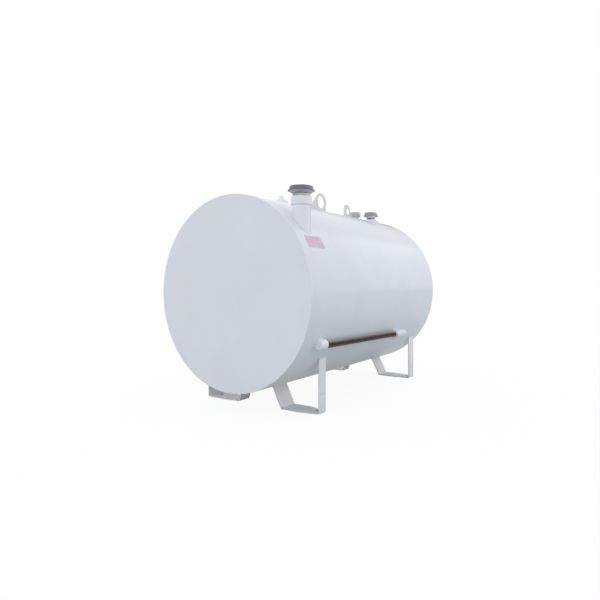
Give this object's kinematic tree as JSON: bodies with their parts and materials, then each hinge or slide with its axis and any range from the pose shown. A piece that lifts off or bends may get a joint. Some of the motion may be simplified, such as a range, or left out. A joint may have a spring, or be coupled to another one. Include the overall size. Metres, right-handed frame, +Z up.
{
  "type": "horizontal storage tank",
  "caption": "Horizontal cylindrical double-wall storage tank with flat ends, on bent plate legs, with lifting lugs, a vented riser, top fittings and a side bar.",
  "frame": {"origin": "on the floor, at the centre of the tank's plan", "axes": "X runs along the tank, and its front head, the end nearer the riser, faces -X; the side with the riser and the bar faces -Y; +Z is up"},
  "size_m": [1.905, 1.27, 1.5662],
  "materials": {
    "white_paint": "gloss white enamel on rolled steel plate",
    "cast_grey": "dull dark grey casting",
    "bar_steel": "dark brown weathered steel pipe"
  },
  "bodies": {
    "root": {"shell": "white_paint", "front_head": "white_paint", "rear_head": "white_paint", "leg_front_right": "white_paint", "leg_front_left": "white_paint", "leg_rear_right": "white_paint", "leg_rear_left": "white_paint", "lifting_lug_front": "white_paint", "lifting_lug_rear": "white_paint", "riser_pipe": "white_paint", "riser_coupling": "white_paint", "riser_vent_base": "cast_grey", "riser_vent_cap": "cast_grey", "plug_coupling": "white_paint", "plug": "white_paint", "filler_flange": "white_paint", "filler_pipe": "white_paint", "filler_cap": "cast_grey", "rear_vent_flange": "white_paint", "rear_vent_base": "cast_grey", "rear_vent_cap": "cast_grey", "side_bar": "bar_steel", "bar_sleeve_front": "white_paint", "bar_sleeve_rear": "white_paint"}
  },
  "joints": []
}
